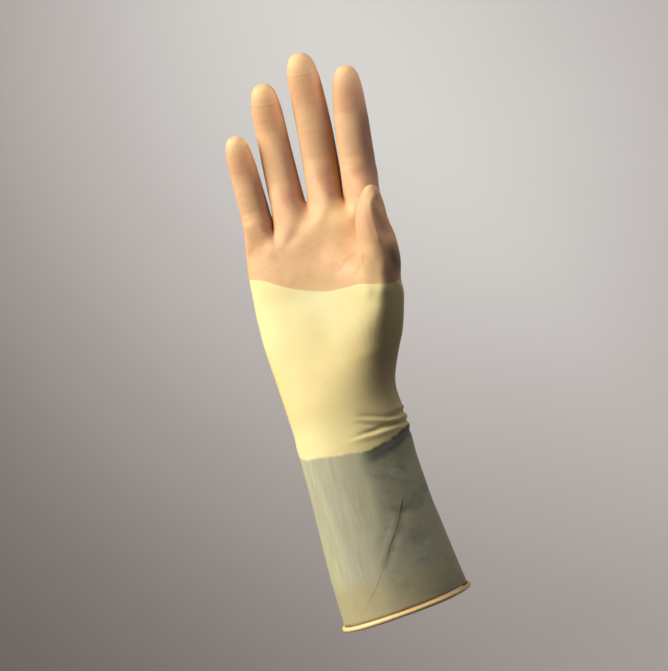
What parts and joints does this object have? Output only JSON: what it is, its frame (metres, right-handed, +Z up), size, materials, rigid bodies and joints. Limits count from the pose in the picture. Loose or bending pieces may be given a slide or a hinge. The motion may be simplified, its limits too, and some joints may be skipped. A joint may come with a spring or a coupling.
{
  "type": "latex surgical glove",
  "caption": "Long latex surgical glove for the right hand, filled out with spread fingers, a folded wrist and a rolled bead at the cuff.",
  "frame": {"origin": "centre of the sleeve's opening, at the middle of the rolled bead", "axes": "+Z runs up the sleeve towards the fingers, the palm faces -Y and the thumb is on the +X side"},
  "size_m": [0.0997, 0.0758, 0.3024],
  "materials": {
    "latex": "satin",
    "latex_bead": "satin"
  },
  "bodies": {
    "root": {"hand_film": "latex", "sleeve_film": "latex", "cuff_bead": "latex_bead"}
  },
  "joints": []
}
